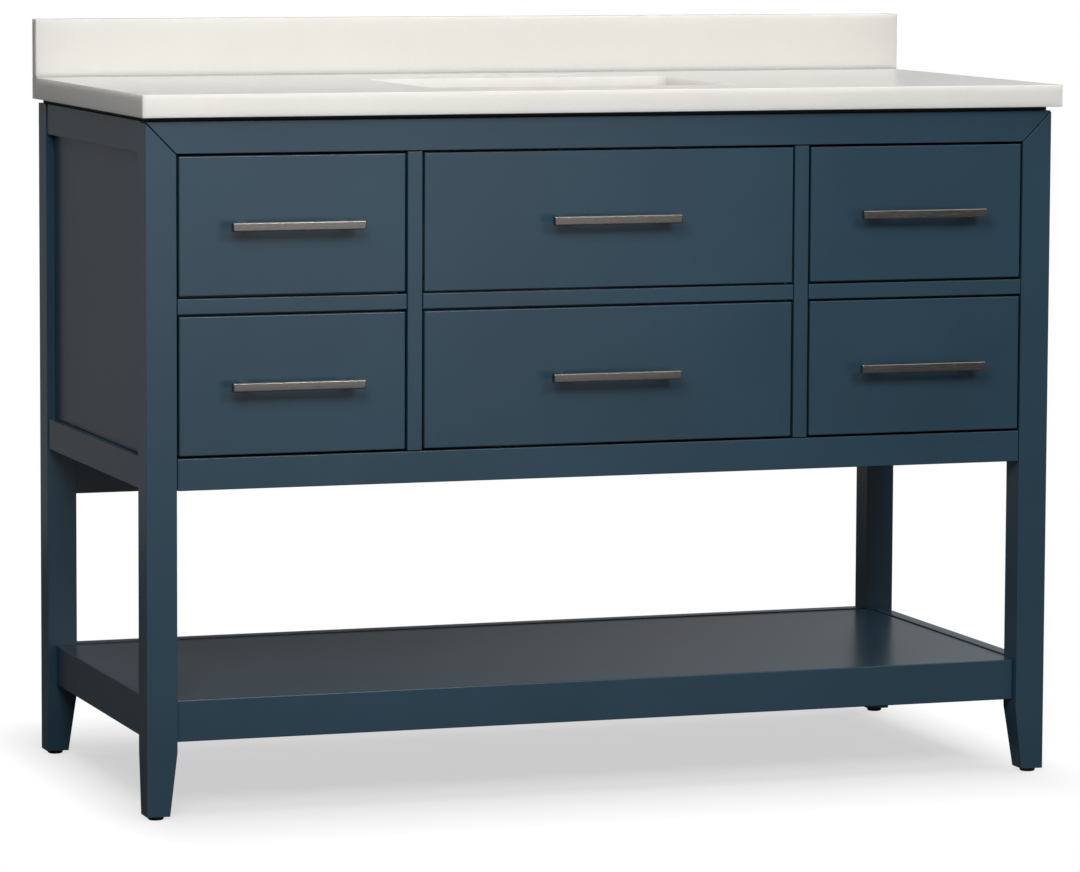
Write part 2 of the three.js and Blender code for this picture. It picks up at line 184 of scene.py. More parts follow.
def porcelain():
    """White glazed ceramic: a clear glossy coat with a slight ripple."""
    glaze = (0.86, 0.865, 0.85)
    tree, shader, material = start("white_porcelain", glaze, 0.12, Coat_Weight=1.0, Coat_Roughness=0.03)
    tone = shades(tree, noise(tree, 12.0), [(0.3, tinted(glaze, 0.98)), (0.7, tinted(glaze, 1.01))])
    tree.links.new(tone, shader.inputs["Base Color"])
    relief(tree, shader, [(noise(tree, 28.0, detail=1.0), 0.08 * MM)])
    return material


def brushed_metal(name, colour, roughness, streak, anisotropic):
    """Metal with fine brush lines along X."""
    tree, shader, material = start(name, colour, roughness, metallic=1.0, Anisotropic=anisotropic)
    lines = noise(tree, 1.0, detail=3.0, stretch=streak)
    tone = shades(tree, lines, [(0.3, tinted(colour, 0.86)), (0.7, tinted(colour, 1.08))])
    tree.links.new(tone, shader.inputs["Base Color"])
    tree.links.new(between(tree, lines, roughness - 0.06, roughness + 0.08), shader.inputs["Roughness"])
    relief(tree, shader, [(lines, 0.003 * MM)])
    return material


def zinc_plate():
    """Bright zinc plating: a faint crystalline spangle and light rolling marks."""
    tone = (0.56, 0.57, 0.60)
    tree, shader, material = start("zinc_steel", tone, 0.34, metallic=1.0)
    spangle = tree.nodes.new("ShaderNodeTexVoronoi")
    spangle.inputs["Scale"].default_value = 140.0
    tree.links.new(place_in_object(tree), spangle.inputs["Vector"])
    shade = tree.nodes.new("ShaderNodeRGBToBW")
    tree.links.new(spangle.outputs["Color"], shade.inputs["Color"])
    colour = shades(tree, shade.outputs["Val"], [(0.2, tinted(tone, 0.9)), (0.8, tinted(tone, 1.06))])
    tree.links.new(colour, shader.inputs["Base Color"])
    marks = noise(tree, 1.0, detail=3.0, stretch=(900, 24, 900))
    tree.links.new(between(tree, marks, 0.28, 0.42), shader.inputs["Roughness"])
    relief(tree, shader, [(marks, 0.004 * MM)])
    return material


def lacquered_wood(name, along, pale=(0.66, 0.49, 0.30), dark=(0.52, 0.35, 0.19)):
    """Clear-lacquered birch with the grain along one axis, 0 for X, 1 for Y, 2 for Z."""
    tree, shader, material = start(name, pale, 0.42, Coat_Weight=0.2, Coat_Roughness=0.25)
    rings = [55.0, 55.0, 55.0]
    rings[along] = 2.2
    fibres = [900.0, 900.0, 900.0]
    fibres[along] = 14.0
    growth = noise(tree, 1.0, detail=4.0, stretch=rings, distortion=0.8)
    fibre = noise(tree, 1.0, detail=2.0, stretch=fibres)
    bands = shades(tree, growth, [(0.30, dark), (0.46, tinted(pale, 0.93)), (0.62, pale)])
    pores = shades(tree, fibre, [(0.30, (0.80, 0.78, 0.75)), (0.50, (1, 1, 1))])
    tree.links.new(blended(tree, 0.8, bands, pores, "MULTIPLY"), shader.inputs["Base Color"])
    tree.links.new(between(tree, fibre, 0.5, 0.36), shader.inputs["Roughness"])
    relief(tree, shader, [(fibre, 0.03 * MM)])
    return material


def plywood_edge():
    """The edge of a plywood board: thin plies stacked up Z, end grain and face grain in turn."""
    pale = (0.62, 0.46, 0.28)
    tree, shader, material = start("plywood_edge", pale, 0.6)
    wave = tree.nodes.new("ShaderNodeTexWave")
    wave.bands_direction = "Z"
    wave.inputs["Scale"].default_value = 130.0
    wave.inputs["Distortion"].default_value = 0.6
    tree.links.new(place_in_object(tree), wave.inputs["Vector"])
    plies = shades(tree, wave.outputs["Fac"], [(0.35, (0.34, 0.22, 0.12)), (0.6, pale)])
    fibre = shades(tree, noise(tree, 700.0, detail=3.0), [(0.3, (0.8, 0.78, 0.75)), (0.7, (1, 1, 1))])
    tree.links.new(blended(tree, 1.0, plies, fibre, "MULTIPLY"), shader.inputs["Base Color"])
    relief(tree, shader, [(wave.outputs["Fac"], 0.05 * MM)])
    return material


def plain(name, colour, roughness, grain_scale, depth, **sockets):
    """A plain finish with slight mottling and a fine grain."""
    tree, shader, material = start(name, colour, roughness, **sockets)
    mottle = noise(tree, grain_scale, detail=3.0)
    tone = shades(tree, mottle, [(0.3, tinted(colour, 0.88)), (0.7, tinted(colour, 1.1))])
    tree.links.new(tone, shader.inputs["Base Color"])
    tree.links.new(between(tree, mottle, roughness - 0.06, roughness + 0.06), shader.inputs["Roughness"])
    relief(tree, shader, [(mottle, depth)])
    return material


PAINT = (0.0205, 0.051, 0.078)
MATERIALS = {
    "navy_paint": satin_paint("navy_paint", PAINT),
    "white_quartz": engineered_stone(),
    "white_porcelain": porcelain(),
    "brushed_nickel": brushed_metal("brushed_nickel", (0.245, 0.226, 0.208), 0.25, (30, 3200, 3200), 0.3),
    "zinc_steel": zinc_plate(),
    "black_oxide": plain("black_oxide", (0.012, 0.012, 0.013), 0.5, 700.0, 0.01 * MM, metallic=1.0),
    "drawer_wood": lacquered_wood("drawer_wood_y", 1),
    # the spacer strips under the stone are near black: painted shade for the dark shadow gap between stone
    # and frame
    "black_spacer": plain("black_spacer", (0.006, 0.006, 0.007), 0.65, 500.0, 0.02 * MM),
    "black_rubber": plain("black_rubber", (0.011, 0.011, 0.012), 0.6, 900.0, 0.02 * MM),
    "white_plastic": plain("white_plastic", (0.76, 0.76, 0.73), 0.38, 1200.0, 0.006 * MM),
}
WOOD_X = lacquered_wood("drawer_wood_x", 0)
PLY_EDGE = plywood_edge()
SEALANT = plain("grey_sealant", (0.46, 0.45, 0.43), 0.45, 300.0, 0.02 * MM)

# ---------- mesh helpers ----------


def smooth_shading_nodes():
    """A node group that only shades every face smooth, so that no CAD mesh is edited."""
    group = bpy.data.node_groups.new("smooth_shading", "GeometryNodeTree")
    group.interface.new_socket("Geometry", in_out="INPUT", socket_type="NodeSocketGeometry")
    group.interface.new_socket("Geometry", in_out="OUTPUT", socket_type="NodeSocketGeometry")
    source = group.nodes.new("NodeGroupInput")
    smooth = group.nodes.new("GeometryNodeSetShadeSmooth")
    result = group.nodes.new("NodeGroupOutput")
    group.links.new(source.outputs[0], smooth.inputs["Geometry"])
    group.links.new(smooth.outputs["Geometry"], result.inputs[0])
    return group


SMOOTH = smooth_shading_nodes()
EASE_ANGLE = math.radians(32)


def front_rim_nodes():
    """A node group that marks the edges of a piece's foremost flat face for a weighted bevel."""
    group = bpy.data.node_groups.new("front_rim", "GeometryNodeTree")
    group.interface.new_socket("Geometry", in_out="INPUT", socket_type="NodeSocketGeometry")
    group.interface.new_socket("Geometry", in_out="OUTPUT", socket_type="NodeSocketGeometry")
    source = group.nodes.new("NodeGroupInput")
    extent = group.nodes.new("GeometryNodeBoundBox")
    offset = group.nodes.new("ShaderNodeVectorMath")
    offset.operation = "SUBTRACT"
    parts = group.nodes.new("ShaderNodeSeparateXYZ")
    near = group.nodes.new("ShaderNodeMath")
    near.operation = "LESS_THAN"
    near.inputs[1].default_value = 0.2 * MM
    store = group.nodes.new("GeometryNodeStoreNamedAttribute")
    store.data_type = "FLOAT"
    store.domain = "EDGE"
    store.inputs["Name"].default_value = "bevel_weight_edge"
    output = group.nodes.new("NodeGroupOutput")
    group.links.new(source.outputs["Geometry"], extent.inputs["Geometry"])
    group.links.new(group.nodes.new("GeometryNodeInputPosition").outputs["Position"], offset.inputs[0])
    group.links.new(extent.outputs["Min"], offset.inputs[1])
    group.links.new(offset.outputs["Vector"], parts.inputs["Vector"])
    group.links.new(parts.outputs["Y"], near.inputs[0])
    group.links.new(source.outputs["Geometry"], store.inputs["Geometry"])
    group.links.new(near.outputs["Value"], store.inputs["Value"])
    group.links.new(store.outputs["Geometry"], output.inputs["Geometry"])
    return group


FRONT_RIM = front_rim_nodes()


def ease(piece, width, segments=2, rim=0.0):
    """Rounds the sharp edges of a piece by width, and shades it smooth between them."""
    weld = piece.modifiers.new("weld", "WELD")
    weld.merge_threshold = 0.02 * MM
    flat = piece.modifiers.new("flat_faces", "DECIMATE")
    flat.decimate_type = "DISSOLVE"
    flat.angle_limit = math.radians(0.5)
    if rim:
        marked = piece.modifiers.new("front_rim", "NODES")
        marked.node_group = FRONT_RIM
        round_front = piece.modifiers.new("round_front", "BEVEL")
        round_front.width = rim
        round_front.segments = 4
        round_front.limit_method = "WEIGHT"
        round_front.miter_outer = "MITER_ARC"
    bevel = piece.modifiers.new("eased_edges", "BEVEL")
    bevel.width = width
    bevel.segments = segments
    bevel.limit_method = "ANGLE"
    bevel.angle_limit = EASE_ANGLE
    bevel.use_clamp_overlap = True
    bevel.miter_outer = "MITER_ARC"
    shade = piece.modifiers.new("smooth", "NODES")
    shade.node_group = SMOOTH
    normals = piece.modifiers.new("weighted_normals", "WEIGHTED_NORMAL")
    normals.keep_sharp = False
    normals.weight = 80


def loft(bm, rings, cycle=False):
    """Closed skin through rings of points. With cycle the last ring joins the first, and no end is capped."""
    levels = [[bm.verts.new(point) for point in ring] for ring in rings]
    pairs = list(zip(levels, levels[1:]))
    if cycle:
        pairs.append((levels[-1], levels[0]))
    for low, high in pairs:
        for i in range(len(low)):
            j = (i + 1) % len(low)
            bm.faces.new((low[i], low[j], high[j], high[i]))
    if not cycle:
        bm.faces.new(levels[0][::-1])
        bm.faces.new(levels[-1])


PLANES = {
    "x": lambda a, b, along: (along, a, b),
    "y": lambda a, b, along: (a, along, b),
    "z": lambda a, b, along: (a, b, along),
}


def prism(bm, outline, axis, low, high):
    """An outline across an axis, made solid from low to high along it."""
    loft(bm, [[PLANES[axis](a, b, along) for a, b in outline] for along in (low, high)])


def board(bm, x, y, z):
    """A rectangular board from its two ends along each axis."""
    prism(bm, [(x[0], y[0]), (x[1], y[0]), (x[1], y[1]), (x[0], y[1])], "z", *z)


def rounded_ring(width, depth, radius, z, centre, steps=10):
    """Points of a rounded rectangle, anticlockwise."""
    points = []
    for corner, (sx, sy) in enumerate(((1, 1), (-1, 1), (-1, -1), (1, -1))):
        for step in range(steps + 1):
            angle = (corner + step / steps) * math.pi / 2
            points.append((
                centre[0] + sx * (width / 2 - radius) + radius * math.cos(angle),
                centre[1] + sy * (depth / 2 - radius) + radius * math.sin(angle),
                z,
            ))
    return points


def finish_piece(bm, name, body, materials, width=0.3 * MM, segments=2):
    """Turns a bmesh into a piece with eased edges that rides on a body."""
    bmesh.ops.remove_doubles(bm, verts=bm.verts, dist=0.001 * MM)
    bmesh.ops.recalc_face_normals(bm, faces=bm.faces)
    mesh = bpy.data.meshes.new(name)
    bm.to_mesh(mesh)
    bm.free()
    for material in materials:
        mesh.materials.append(material)
    piece = bpy.data.objects.new(name, mesh)
    bpy.context.scene.collection.objects.link(piece)
    ease(piece, width, segments)
    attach(piece, body)
    return piece


SCREW = {"radius": 3.8 * MM, "height": 2.0 * MM, "sides": 32}
# share of the head's radius, and height above the face
DOME = ((0.9, -0.2 * MM), (1.0, 0.3 * MM), (0.94, 1.1 * MM), (0.78, 1.7 * MM), (0.6, SCREW["height"]))
DRIVE = {"length": 1.9 * MM, "half_width": 0.5 * MM, "depth": 1.2 * MM, "taper": 0.8}


def drive_radius(angle):
    """Radius of a cross-shaped drive recess at an angle."""
    off = abs((angle + math.pi / 4) % (math.pi / 2) - math.pi / 4)
    if math.tan(off) < DRIVE["half_width"] / DRIVE["length"]:
        return DRIVE["length"] / math.cos(off)
    return DRIVE["half_width"] / math.sin(off)


def screw_head(bm, at, facing):
    """A pan head with a cross recess, sitting at a point on a face and looking along facing."""
    turn = Vector(facing).to_track_quat("Z", "Y").to_matrix()
    angles = [2 * math.pi * i / SCREW["sides"] for i in range(SCREW["sides"])]

    def level(radii, height):
        return [Vector(at) + turn @ Vector((radius * math.cos(a), radius * math.sin(a), height))
                for radius, a in zip(radii, angles)]

    rings = [level([SCREW["radius"] * share] * SCREW["sides"], height) for share, height in DOME]
    recess = [drive_radius(a) for a in angles]
    rings.append(level(recess, SCREW["height"]))
    rings.append(level([radius * DRIVE["taper"] for radius in recess], SCREW["height"] - DRIVE["depth"]))
    loft(bm, rings)


def screws(name, body, places):
    """One piece holding a group of screw heads, from (point, facing) pairs."""
    bm = bmesh.new()
    for at, facing in places:
        screw_head(bm, at, facing)
    return finish_piece(bm, name, body, [MATERIALS["zinc_steel"]], 0.08 * MM, 1)


# ---------- CAD nodes that stay ----------
# part of a node's name, width of the rounding, segments. The other nodes get FRAME_EASE.
EASED = (
    ("countertop", 0.7 * MM, 3), ("backsplash", 0.7 * MM, 3), ("leg_", 1.3 * MM, 3),
    ("foot_", 0.4 * MM, 2), ("_pull", 0.3 * MM, 2), ("_front", 1.5 * MM, 3), ("_runners", 0.25 * MM, 1),
    ("tipout_pivot", 0.3 * MM, 2), ("top_spacer", 0.3 * MM, 1), ("divider", 0.4 * MM, 1),
    ("cabinet_floor", 0.4 * MM, 1),
)
FRAME_EASE = (1.0 * MM, 3)
PULL_RIM = 1.6 * MM
GRAIN_ALONG_X = ("cabinet_floor",)


def dress_cad_nodes():
    slots = {row["node"]: row["material_slot"] for row in frame["record"]["subparts"]}
    for name, node in frame["nodes"].items():
        material = WOOD_X if name in GRAIN_ALONG_X else MATERIALS[slots[name]]
        node.data.materials.clear()
        node.data.materials.append(material)
        width, segments = next(((w, s) for key, w, s in EASED if key in name), FRAME_EASE)
        ease(node, width, segments, PULL_RIM if "_pull" in name else 0.0)


# ---------- drawers ----------
BOARD = 12 * MM
JOINT = 0.08 * MM
TAILS = 4
PIN = 6 * MM
TAIL_SLOPE = 2 * MM
BOTTOM = {"lift": 8 * MM, "thick": 6 * MM, "play": 0.3 * MM}
NOTCH = {"half_width": 90 * MM, "front": -68 * MM}
MEMBER = {"gap": 0.2 * MM, "reach": 9.4 * MM, "half_height": 19 * MM, "web": 1.2 * MM, "setback": 2 * MM,
          "screws": (0.09, 0.5, 0.91)}
PULL_SCREW_PITCH = 128 * MM
FRONT_SCREW_INSET = 34 * MM


def tail_centres(z):
    pitch = (z[1] - z[0]) / TAILS
    return [z[0] + pitch * (i + 0.5) for i in range(TAILS)], pitch / 2 - PIN / 2


def tailed_side(bm, x, y, z):
    """A drawer side: a board along Y with dovetails at both ends."""
    centres, tip = tail_centres(z)
    tip -= JOINT
    root = tip - TAIL_SLOPE
    front = y[0] + BOARD
    back = y[1] - BOARD
    outline = [(front, z[0]), (back, z[0])]
    for c in centres:
        outline += [(back, c - root), (y[1], c - tip), (y[1], c + tip), (back, c + root)]
    outline += [(back, z[1]), (front, z[1])]
    for c in reversed(centres):
        outline += [(front, c + root), (y[0], c + tip), (y[0], c - tip), (front, c - root)]
    prism(bm, outline, "x", *x)


def pinned_end(bm, x, y, z, outside, pinned=(True, True)):
    """A drawer front or back: a board along X with pins at its ends, narrower towards outside, -1 or 1."""
    centres, tip = tail_centres(z)

    def outline(half):
        def sockets(at, inward, order, step):
            points = []
            for c in order:
                points += [(at, c - step), (inward, c - step), (inward, c + step), (at, c + step)]
            return points

        left = sockets(x[0], x[0] + BOARD, centres, half) if pinned[0] else []
        right = sockets(x[1], x[1] - BOARD, centres[::-1], -half) if pinned[1] else []
        return [(x[0], z[0]), *left, (x[0], z[1]), (x[1], z[1]), *right, (x[1], z[0])]

    halves = (tip, tip - TAIL_SLOPE) if outside < 0 else (tip - TAIL_SLOPE, tip)
    loft(bm, [[(a, at, b) for a, b in outline(half)] for at, half in zip(y, halves)])


def notched_plan(x, y, inset):
    """Plan of the bottom centre drawer inside its boards, open round the pipes at the back."""
    half = NOTCH["half_width"] + BOARD + inset
    ahead = NOTCH["front"] - BOARD - inset
    left, right = x[0] + BOARD + inset, x[1] - BOARD - inset
    front, back = y[0] + BOARD + inset, y[1] - BOARD - inset
    return [(left, front), (right, front), (right, back), (half, back), (half, ahead),
            (-half, ahead), (-half, back), (left, back)]


def drawer_bottom(name, x, y, z, notched):
    play = BOTTOM["play"]
    low = z[0] + BOTTOM["lift"]
    bm = bmesh.new()
    if notched:
        plan = notched_plan(x, y, play)
    else:
        left, right = x[0] + BOARD + play, x[1] - BOARD - play
        front, back = y[0] + BOARD + play, y[1] - BOARD - play
        plan = [(left, front), (right, front), (right, back), (left, back)]
    prism(bm, plan, "z", low, low + BOTTOM["thick"])
    for face in bm.faces:
        face.normal_update()
        face.material_index = 0 if abs(face.normal.z) > 0.5 else 1
    return finish_piece(bm, f"{name}_bottom", name, [WOOD_X, PLY_EDGE], 0.2 * MM, 1)


def slide_members(name, x, y, z_middle):
    """The two channels screwed to the drawer's sides, which run inside the cabinet's channels."""
    bm = bmesh.new()
    heads = []
    reach, half, web = MEMBER["reach"], MEMBER["half_height"], MEMBER["web"]
    profile = [(0, -half), (reach, -half), (reach, web - half), (web, web - half),
               (web, half - web), (reach, half - web), (reach, half), (0, half)]
    start_at = y[0] + MEMBER["setback"]
    for side, outer in ((-1, x[0]), (1, x[1])):
        base = outer + side * MEMBER["gap"]
        prism(bm, [(base + side * a, z_middle + b) for a, b in profile], "y", start_at, y[1])
        for along in MEMBER["screws"]:
            at = start_at + (y[1] - start_at) * along
            heads.append(((base + side * web, at, z_middle), (side, 0, 0)))
    finish_piece(bm, f"{name}_slide_members", name, [MATERIALS["zinc_steel"]], 0.2 * MM, 2)
    return heads


def drawer(name):
    """A dovetailed box, its plywood bottom, the slide members and the screws, riding on the drawer's body."""
    body = f"drawer_{name}"
    low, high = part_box(f"{body}_box")
    runners_low, runners_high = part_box(f"{body}_runners")
    x, y, z = (low.x, high.x), (low.y, high.y), (low.z, high.z)
    notched = name == "bottom_center"
    inner_front = (y[0], y[0] + BOARD)
    inner_back = (y[1] - BOARD, y[1])

    sides = bmesh.new()
    tailed_side(sides, (x[0], x[0] + BOARD), y, z)
    tailed_side(sides, (x[1] - BOARD, x[1]), y, z)
    ends = bmesh.new()
    pinned_end(ends, x, inner_front, z, -1)
    if notched:
        wing = NOTCH["half_width"] + BOARD
        pinned_end(ends, (x[0], -wing), inner_back, z, 1, (True, False))
        pinned_end(ends, (wing, x[1]), inner_back, z, 1, (False, True))
        board(ends, (-wing, wing), (NOTCH["front"] - BOARD, NOTCH["front"]), z)
        for _, side in SIDES:
            across = sorted((side * NOTCH["half_width"], side * wing))
            board(sides, across, (NOTCH["front"] + JOINT, y[1] - BOARD - JOINT), z)
    else:
        pinned_end(ends, x, inner_back, z, 1)
    box = finish_piece(sides, f"{body}_sides", body, [MATERIALS["drawer_wood"]])
    finish_piece(ends, f"{body}_ends", body, [WOOD_X])
    drawer_bottom(body, x, y, z, notched)
    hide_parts(f"{body}_box")

    pull_low, pull_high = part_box(f"{body}_pull")
    pull_x = (pull_low.x + pull_high.x) / 2
    pull_z = (pull_low.z + pull_high.z) / 2
    heads = slide_members(body, x, y, (runners_low.z + runners_high.z) / 2)
    inside = y[0] + BOARD
    heads += [((pull_x + side * PULL_SCREW_PITCH / 2, inside, pull_z), (0, 1, 0)) for _, side in SIDES]
    inset = FRONT_SCREW_INSET
    for at_x in (x[0] + BOARD + inset, x[1] - BOARD - inset):
        for at_z in (z[0] + inset, z[1] - inset):
            heads.append(((at_x, inside, at_z), (0, 1, 0)))
    screws(f"{body}_screws", body, heads)


# ---------- tip-out tray ----------
TRAY = {"wall": 2 * MM, "radius": 9 * MM, "draft": 2 * MM, "floor": 2 * MM, "lip": 3 * MM}
TRAY_SCREWS = {"across": 150 * MM, "below_lip": 22 * MM}
TIPOUT_FRONT_SCREWS_ACROSS = 232 * MM


def tipout_tray():
    """A thin moulded tray with round corners, drafted walls and a rolled lip."""
    low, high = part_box("tipout_tray")
    centre = ((low.x + high.x) / 2, (low.y + high.y) / 2)
    width, depth = high.x - low.x, high.y - low.y
    wall, draft, lip = TRAY["wall"], TRAY["draft"], TRAY["lip"]
    inner = draft + wall
    up_the_outside = [(draft + 1.5 * MM, low.z), (draft, low.z + 1.5 * MM), (0.6 * MM, high.z - lip),
                      (0, high.z - lip + 0.4 * MM), (0, high.z - 0.5 * MM), (0.5 * MM, high.z)]
    down_the_inside = [(wall, high.z), (wall + 0.5 * MM, high.z - 0.5 * MM),
                       (inner, low.z + wall + 2 * MM), (inner + 2 * MM, low.z + TRAY["floor"])]
    bm = bmesh.new()
    loft(bm, [rounded_ring(width - 2 * shrink, depth - 2 * shrink, TRAY["radius"] - shrink / 2, z, centre)
              for shrink, z in up_the_outside + down_the_inside])
    tray = finish_piece(bm, "tipout_tray_moulding", "tipout", [MATERIALS["white_plastic"]],
                        0.2 * MM, 1)
    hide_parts("tipout_tray")
    pull_low, pull_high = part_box("tipout_pull")
    front_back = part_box("tipout_front")[1].y
    heads = []
    for _, side in SIDES:
        in_tray = (side * TRAY_SCREWS["across"], low.y + wall, high.z - TRAY_SCREWS["below_lip"])
        beside_tray = (side * TIPOUT_FRONT_SCREWS_ACROSS, front_back, (pull_low.z + pull_high.z) / 2)
        heads += [(in_tray, (0, 1, 0)), (beside_tray, (0, 1, 0))]
    screws("tipout_screws", "tipout", heads)


# ---------- basin ----------
BASIN_CENTRE_Y = -25.5 * MM
BOWL = {"width": 418 * MM, "depth": 272 * MM, "corner": 26 * MM, "drop": 140 * MM, "wall": 11 * MM,
        "lip": 3 * MM, "draft": 16 * MM, "fillet": 44 * MM, "fall": 5 * MM, "foot_corner": 58 * MM}
FLANGE = {"reach": 26 * MM, "thick": 12 * MM}
DRAIN_RADIUS = 22.5 * MM


def basin_level(shrink, z, corner):
    """A ring of the bowl, set in by shrink from the opening."""
    return rounded_ring(BOWL["width"] - 2 * shrink, BOWL["depth"] - 2 * shrink, corner, z,
                        (0.0, BASIN_CENTRE_Y))


def drain_level(radius, z):
    return rounded_ring(2 * radius, 2 * radius, radius, z, (0.0, BASIN_CENTRE_Y))


def quarter(steps, first=0):
    """Angles from first to steps, of a right angle cut in steps."""
    return [math.pi / 2 * step / steps for step in range(first, steps + 1)]


def bowl_inside(rim, floor):
    """Rings from the rolled lip down the drafted wall and the fillet, then across the floor to the drain."""
    lip, draft, fillet, foot_corner = (BOWL[key] for key in ("lip", "draft", "fillet", "foot_corner"))
    lip_corner = BOWL["corner"] + 6 * MM
    wall_top = rim - lip
    wall_foot = floor + BOWL["fall"] + fillet
    rings = [basin_level(-lip * math.sin(a), rim - lip * (1 - math.cos(a)), lip_corner) for a in quarter(4)]
    for part in (0.25, 0.5, 0.75, 1.0):
        rings.append(basin_level(draft * part, wall_top - (wall_top - wall_foot) * part,
                                 lip_corner + 26 * MM * part))
    for a in quarter(8, 1):
        rings.append(basin_level(draft + fillet * (1 - math.cos(a)), wall_foot - fillet * math.sin(a),
                                 foot_corner))
    floor_edge = draft + fillet
    for part in (0.35, 0.7):
        shrink = floor_edge + (BOWL["depth"] / 2 - floor_edge - 2 * DRAIN_RADIUS) * part
        corner = min(foot_corner, BOWL["depth"] / 2 - shrink - 1 * MM)
        rings.append(basin_level(shrink, floor + BOWL["fall"] * (1 - part * 0.8), corner))
    dish = ((DRAIN_RADIUS * 1.5, 0.8 * MM), (DRAIN_RADIUS + 2 * MM, 0), (DRAIN_RADIUS, -2 * MM))
    return rings + [drain_level(radius, floor + height) for radius, height in dish]


def bowl_outside(rim, floor):
    """Rings from the drain out under the floor, up the outside of the wall, and round the flat flange."""
    wall, fillet, reach = BOWL["wall"], BOWL["fillet"], FLANGE["reach"]
    wall_foot = floor + BOWL["fall"] + fillet
    under = floor - wall
    rings = [drain_level(DRAIN_RADIUS, under), drain_level(DRAIN_RADIUS + wall, under),
             basin_level(BOWL["depth"] / 2 - 60 * MM, under + 2 * MM, BOWL["foot_corner"])]
    for a in reversed(quarter(6)[:-1]):
        rings.append(basin_level(BOWL["draft"] - wall + fillet * (1 - math.cos(a)),
                                 wall_foot - wall - fillet * math.sin(a), 60 * MM))
    flange_under = rim - FLANGE["thick"]
    flange = (
        (-wall, flange_under - 10 * MM, 36 * MM), (-wall - 1.5 * MM, flange_under - 2 * MM, 37 * MM),
        (-wall - 4 * MM, flange_under, 38 * MM), (2 * MM - reach, flange_under, 40 * MM),
        (-reach, flange_under + 2 * MM, 41 * MM), (-reach, rim - 2 * MM, 41 * MM),
        (1.5 * MM - reach, rim, 40 * MM),
    )
    return rings + [basin_level(*level) for level in flange]


def basin_bowl():
    """The undermounted bowl, one closed skin with a hole for the drain."""
    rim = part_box("sink_basin")[1].z
    floor = rim - BOWL["drop"]
    bm = bmesh.new()
    loft(bm, bowl_inside(rim, floor) + bowl_outside(rim, floor), cycle=True)
    bowl = finish_piece(bm, "basin_bowl", "cabinet", [MATERIALS["white_porcelain"]],
                        0.2 * MM, 1)
    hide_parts("sink_basin")


OVERFLOW = {"below_rim": 34 * MM, "inset": 4.2 * MM, "lean": 8, "outer": 12 * MM, "inner": 8 * MM,
            "sides": 48}


def basin_overflow():
    """A metal ring round the overflow hole in the bowl's front wall, and a black disc inside it as painted
    shade for the dark hole.
    """
    outer, inner = OVERFLOW["outer"], OVERFLOW["inner"]
    middle = Vector((0, BASIN_CENTRE_Y - BOWL["depth"] / 2 + OVERFLOW["inset"],
                     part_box("sink_basin")[1].z - OVERFLOW["below_rim"]))
    lean = Matrix.Rotation(math.radians(OVERFLOW["lean"]), 3, "X")
    angles = [2 * math.pi * i / OVERFLOW["sides"] for i in range(OVERFLOW["sides"])]

    def ring(radius, height):
        return [middle + lean @ Vector((radius * math.cos(a), height, radius * math.sin(a))) for a in angles]

    profile = ((outer, -3.0), (outer, 0.6), (outer - 1 * MM, 1.3), (inner + 1 * MM, 1.3), (inner, 0.7),
               (inner, -3.0))
    bm = bmesh.new()
    loft(bm, [ring(radius, height * MM) for radius, height in profile], cycle=True)
    finish_piece(bm, "basin_overflow_ring", "cabinet", [MATERIALS["brushed_nickel"]],
                 0.2 * MM, 1)
    # a thin black disc in the ring: painted shade standing in for the dark overflow hole
    bm = bmesh.new()
    loft(bm, [ring(inner, 0.0), ring(inner, 0.4 * MM)])
    finish_piece(bm, "basin_overflow_shadow", "cabinet", [MATERIALS["black_rubber"]],
                 0.1 * MM, 1)


CLIP = {"width": 22 * MM, "thick": 2 * MM, "foot": 20 * MM, "toe": 12 * MM, "clear": 2 * MM, "gap": 0.3 * MM,
        "across": 140 * MM, "screw": 13 * MM}


def basin_clips():
    """Four bent steel clips screwed under the stone, which hold the flange up."""
    thick = CLIP["thick"]
    under_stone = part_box("countertop")[0].z - CLIP["gap"]
    under_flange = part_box("sink_basin")[1].z - FLANGE["thick"] - CLIP["gap"]
    bm = bmesh.new()
    heads = []
    for end in (-1, 1):
        edge = BASIN_CENTRE_Y + end * (BOWL["depth"] / 2 + FLANGE["reach"])
        foot = edge + end * (CLIP["foot"] + CLIP["clear"])
        inner = edge + end * CLIP["clear"]
        outer = inner + end * thick
        toe = edge - end * CLIP["toe"]
        profile = [
            (foot, under_stone), (inner, under_stone), (inner, under_flange), (toe, under_flange),
            (toe, under_flange - thick), (outer, under_flange - thick),
            (outer, under_stone - thick), (foot, under_stone - thick),
        ]
        for _, side in SIDES:
            x = side * CLIP["across"]
            prism(bm, profile, "x", x - CLIP["width"] / 2, x + CLIP["width"] / 2)
            heads.append(((x, edge + end * CLIP["screw"], under_stone - thick), (0, 0, -1)))
    finish_piece(bm, "basin_clips", "cabinet", [MATERIALS["zinc_steel"]], 0.3 * MM)
    screws("basin_clip_screws", "cabinet", heads)


BEAD = {"size": 1.8 * MM, "gap": 0.05 * MM, "end": 1.4 * MM}


def sealant_bead():
    """A small concave bead where the backsplash meets the top."""
    low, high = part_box("backsplash")
    size, gap, end = BEAD["size"], BEAD["gap"], BEAD["end"]
    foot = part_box("countertop")[1].z + gap
    hollow = [(low.y - size + size * math.sin(a), foot + size - size * math.cos(a)) for a in quarter(6)]
    bm = bmesh.new()
    prism(bm, [(low.y - gap, foot), *hollow], "x", low.x + end, high.x - end)
    finish_piece(bm, "backsplash_sealant", "cabinet", [SEALANT], 0.1 * MM, 1)


# ---------- blocks, cleats and screws of the cabinet ----------
BRACE = {"leg": 88 * MM, "thick": 16 * MM, "drop": 2 * MM, "gap": 0.4 * MM,
         "screws": ((0.52, 0.16), (0.16, 0.52))}


